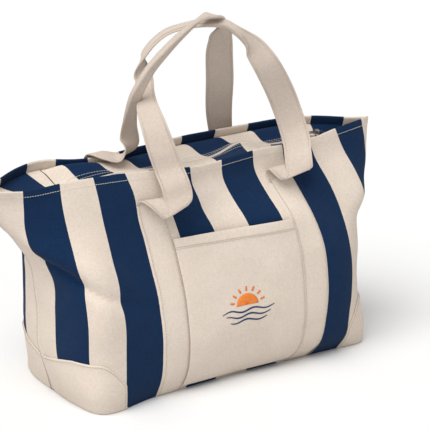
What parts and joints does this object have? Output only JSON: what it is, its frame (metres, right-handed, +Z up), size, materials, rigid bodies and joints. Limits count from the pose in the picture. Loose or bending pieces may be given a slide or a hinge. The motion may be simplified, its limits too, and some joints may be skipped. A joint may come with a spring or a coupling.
{
  "type": "canvas tote bag",
  "caption": "Striped canvas tote with flared body, patch pocket, corner patches, two strap handles and a recessed zip closure.",
  "frame": {"origin": "centre of the base on the floor", "axes": "+X along the bag's length, +Y from the pocket side to the back, +Z up"},
  "size_m": [0.524, 0.1895, 0.429],
  "materials": {
    "striped_canvas": "matte",
    "natural_canvas": "matte",
    "binding_tape": "matte",
    "zip_tape": "matte",
    "zip_coil": "satin",
    "zip_metal": "polished",
    "thread": "matte",
    "pocket_print": "matte"
  },
  "bodies": {
    "bag": {"front_panel": "striped_canvas", "back_panel": "striped_canvas", "base_panel": "striped_canvas", "front_pocket": "natural_canvas", "corner_patch_front_left": "natural_canvas", "corner_patch_front_right": "natural_canvas", "corner_patch_back_left": "natural_canvas", "corner_patch_back_right": "natural_canvas", "front_strap_left": "natural_canvas", "front_strap_right": "natural_canvas", "back_strap_left": "natural_canvas", "back_strap_right": "natural_canvas", "closure_end_left": "striped_canvas", "closure_end_right": "striped_canvas", "zip_stop_left": "zip_metal", "zip_stop_right": "zip_metal", "side_seam_binding_left": "binding_tape", "side_seam_binding_right": "binding_tape", "base_seam_binding": "binding_tape"},
    "front_handle": {"front_handle": "natural_canvas"},
    "back_handle": {"back_handle": "natural_canvas"},
    "front_closure": {"front_closure": "striped_canvas", "zip_tape_front": "zip_tape", "zip_teeth_front": "zip_coil"},
    "back_closure": {"back_closure": "striped_canvas", "zip_tape_back": "zip_tape", "zip_teeth_back": "zip_coil"},
    "zip_slider": {"zip_slider": "zip_metal"},
    "zip_pull": {"zip_pull": "zip_metal"}
  },
  "joints": [
    {"name": "front_handle_swing", "type": "hinge", "parent": "bag", "child": "front_handle", "pos_m": [0, -0.06412, 0.22868], "axis": [1, 0, 0], "range_deg": [0, 170]},
    {"name": "back_handle_swing", "type": "hinge", "parent": "bag", "child": "back_handle", "pos_m": [0, 0.06412, 0.22868], "axis": [-1, 0, 0], "range_deg": [0, 170]},
    {"name": "front_closure_fold", "type": "hinge", "parent": "bag", "child": "front_closure", "pos_m": [0, -0.05487, 0.248], "axis": [-1, 0, 0], "range_deg": [0, 80]},
    {"name": "back_closure_fold", "type": "hinge", "parent": "bag", "child": "back_closure", "pos_m": [0, 0.05487, 0.248], "axis": [1, 0, 0], "range_deg": [0, 80]},
    {"name": "zip_slide", "type": "slide", "parent": "bag", "child": "zip_slider", "axis": [-1, 0, 0], "range_m": [0, 0.372]},
    {"name": "zip_pull_swing", "type": "hinge", "parent": "zip_slider", "child": "zip_pull", "pos_m": [0.186, 0, 0.2531], "axis": [0, 1, 0], "range_deg": [0, 180]}
  ]
}
